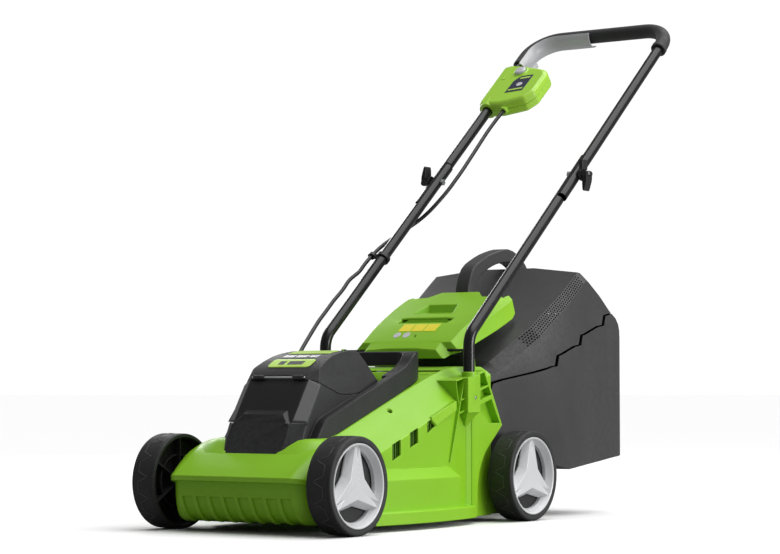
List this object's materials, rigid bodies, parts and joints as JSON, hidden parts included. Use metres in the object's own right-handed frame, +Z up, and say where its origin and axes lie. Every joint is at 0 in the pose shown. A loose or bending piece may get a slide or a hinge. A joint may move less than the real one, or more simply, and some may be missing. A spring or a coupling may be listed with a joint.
{
  "type": "push lawn mower",
  "caption": "Cordless rotary push mower with a battery hood, rear discharge flap, hard grass collector and a folding U handle.",
  "frame": {"origin": "middle of the footprint, on the ground", "axes": "+Z up, -Y is the front with the bumper, +Y the handle end, +X the side away from the switch box"},
  "size_m": [0.385, 1.1532, 0.9112],
  "materials": {
    "green": "satin moulded, lime green",
    "black": "satin moulded, black",
    "dark": "fine-grained moulded, dark grey",
    "tube": "powder coated, black",
    "foam": "closed-cell foam, black",
    "silver": "silver painted",
    "white": "light grey moulded",
    "steel": "zinc plated",
    "board": "circuit board",
    "lime": "printed plate",
    "red": "moulded red",
    "tyre": "hard rubber tread, black"
  },
  "bodies": {
    "deck": {"axle_nut_front_left": "steel", "axle_nut_front_right": "steel", "axle_nut_rear_left": "steel", "axle_nut_rear_right": "steel", "battery_hood": "black", "battery_pack": "dark", "cable_clip": "black", "cam_washer_left": "black", "cam_washer_right": "black", "control_board": "board", "deck_screw_left": "steel", "deck_screw_right": "steel", "deck_shell": "green", "flap_hinge_rod": "steel", "flap_spring": "steel", "front_axle": "steel", "lid_hinge_pin": "steel", "lower_tube_left": "tube", "lower_tube_right": "tube", "motor_can": "steel", "pivot_bolt_left": "steel", "pivot_bolt_right": "steel", "rear_axle": "steel", "safety_key": "red", "switch_cable": "black", "terminal_block": "black", "tube_screw_left": "steel", "tube_screw_right": "steel"},
    "rotor": {"motor_shaft": "steel", "blade_boss": "black", "cutting_blade": "steel", "blade_bolt": "steel"},
    "lid": {"battery_lid": "black", "lid_badge": "lime"},
    "flap": {"discharge_flap": "green"},
    "collector": {"collector_top": "dark", "collector_bottom": "dark"},
    "upper_handle": {"upper_handle_tube": "tube", "grip_sleeve": "foam", "switch_box_front": "green", "switch_box_back": "green", "micro_switch": "black", "bail_pin": "steel"},
    "bail": {"bail_lever": "white"},
    "lock_button": {"lock_button": "white"},
    "cam_lever_left": {"cam_lever_left": "black"},
    "cam_lever_right": {"cam_lever_right": "black"},
    "wheel_front_left": {"wheel_front_left": "tyre", "star_rim_front_left": "silver", "bush_front_left": "dark"},
    "wheel_front_right": {"wheel_front_right": "tyre", "star_rim_front_right": "silver", "bush_front_right": "dark"},
    "wheel_rear_left": {"wheel_rear_left": "tyre", "star_rim_rear_left": "silver", "bush_rear_left": "dark"},
    "wheel_rear_right": {"wheel_rear_right": "tyre", "star_rim_rear_right": "silver", "bush_rear_right": "dark"}
  },
  "joints": [
    {"name": "wheel_front_left_roll", "type": "hinge", "parent": "deck", "child": "wheel_front_left", "pos_m": [0.17, -0.50106, 0.075], "axis": [1, 0, 0], "continuous": true},
    {"name": "wheel_front_right_roll", "type": "hinge", "parent": "deck", "child": "wheel_front_right", "pos_m": [-0.17, -0.50106, 0.075], "axis": [1, 0, 0], "continuous": true},
    {"name": "wheel_rear_left_roll", "type": "hinge", "parent": "deck", "child": "wheel_rear_left", "pos_m": [0.17, -0.00706, 0.075], "axis": [1, 0, 0], "continuous": true},
    {"name": "wheel_rear_right_roll", "type": "hinge", "parent": "deck", "child": "wheel_rear_right", "pos_m": [-0.17, -0.00706, 0.075], "axis": [1, 0, 0], "continuous": true},
    {"name": "blade_spin", "type": "hinge", "parent": "deck", "child": "rotor", "pos_m": [0, -0.28906, 0.06], "axis": [0, 0, 1], "continuous": true},
    {"name": "lid_hinge", "type": "hinge", "parent": "deck", "child": "lid", "pos_m": [0, -0.45056, 0.2372], "axis": [1, 0, 0], "range_deg": [0, 75]},
    {"name": "flap_hinge", "type": "hinge", "parent": "deck", "child": "flap", "pos_m": [0, -0.10206, 0.283], "axis": [1, 0, 0], "range_deg": [0, 55], "stiffness_Nm_per_rad": 0.25, "springref_deg": -34.38, "deforming": ["flap_spring"]},
    {"name": "collector_slide", "type": "slide", "parent": "deck", "child": "collector", "axis": [0, 1, 0], "range_m": [0, 0.12]},
    {"name": "handle_fold", "type": "hinge", "parent": "deck", "child": "upper_handle", "pos_m": [0, 0.20752, 0.59548], "axis": [1, 0, 0], "range_deg": [0, 150], "deforming": ["switch_cable"]},
    {"name": "bail_squeeze", "type": "hinge", "parent": "upper_handle", "child": "bail", "pos_m": [-0.118, 0.47586, 0.8233], "axis": [0, -0.6472, 0.7623], "range_deg": [0, 2.8], "stiffness_Nm_per_rad": 1.5, "springref_deg": -4.58},
    {"name": "lock_button_press", "type": "slide", "parent": "upper_handle", "child": "lock_button", "axis": [0, 0.6472, -0.7623], "range_m": [0, 0.004], "stiffness_N_per_m": 400, "springref_m": -0.003},
    {"name": "cam_lever_left_flip", "type": "hinge", "parent": "deck", "child": "cam_lever_left", "pos_m": [0.17, 0.20752, 0.59548], "axis": [0, -1, 0], "range_deg": [0, 90]},
    {"name": "cam_lever_right_flip", "type": "hinge", "parent": "deck", "child": "cam_lever_right", "pos_m": [-0.17, 0.20752, 0.59548], "axis": [0, -1, 0], "range_deg": [0, 90]}
  ]
}
